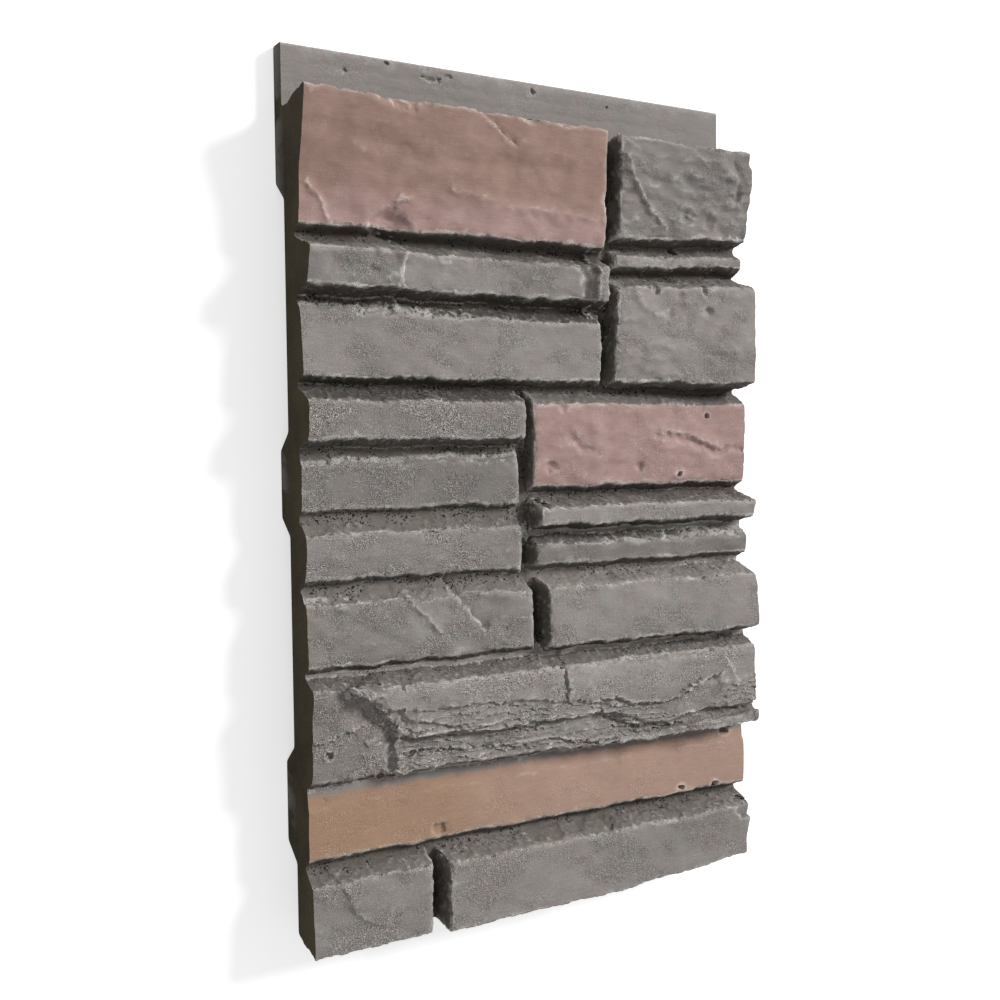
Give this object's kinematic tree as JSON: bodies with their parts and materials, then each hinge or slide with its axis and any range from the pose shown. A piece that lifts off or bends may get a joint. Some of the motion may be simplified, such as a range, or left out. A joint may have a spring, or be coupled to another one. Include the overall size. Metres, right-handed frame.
{
  "type": "faux stone wall panel",
  "caption": "Moulded foam wall panel with dry-stacked stone faces, a nailing flange along the top, a lap rebate at the bottom and ribs on the back, sawn at both ends.",
  "frame": {"origin": "centre of the footprint, on the plane of the back ribs that lie against the wall", "axes": "+X along the courses to the right saw cut, +Y up the wall to the nailing flange, +Z out of the wall to the stone faces; the panel lies on its back"},
  "size_m": [0.37, 0.6, 0.0618],
  "materials": {
    "painted_foam": "rough moulded foam, painted matt grey with rose and tan stones"
  },
  "bodies": {
    "root": {"stone_panel": "painted_foam"}
  },
  "joints": []
}
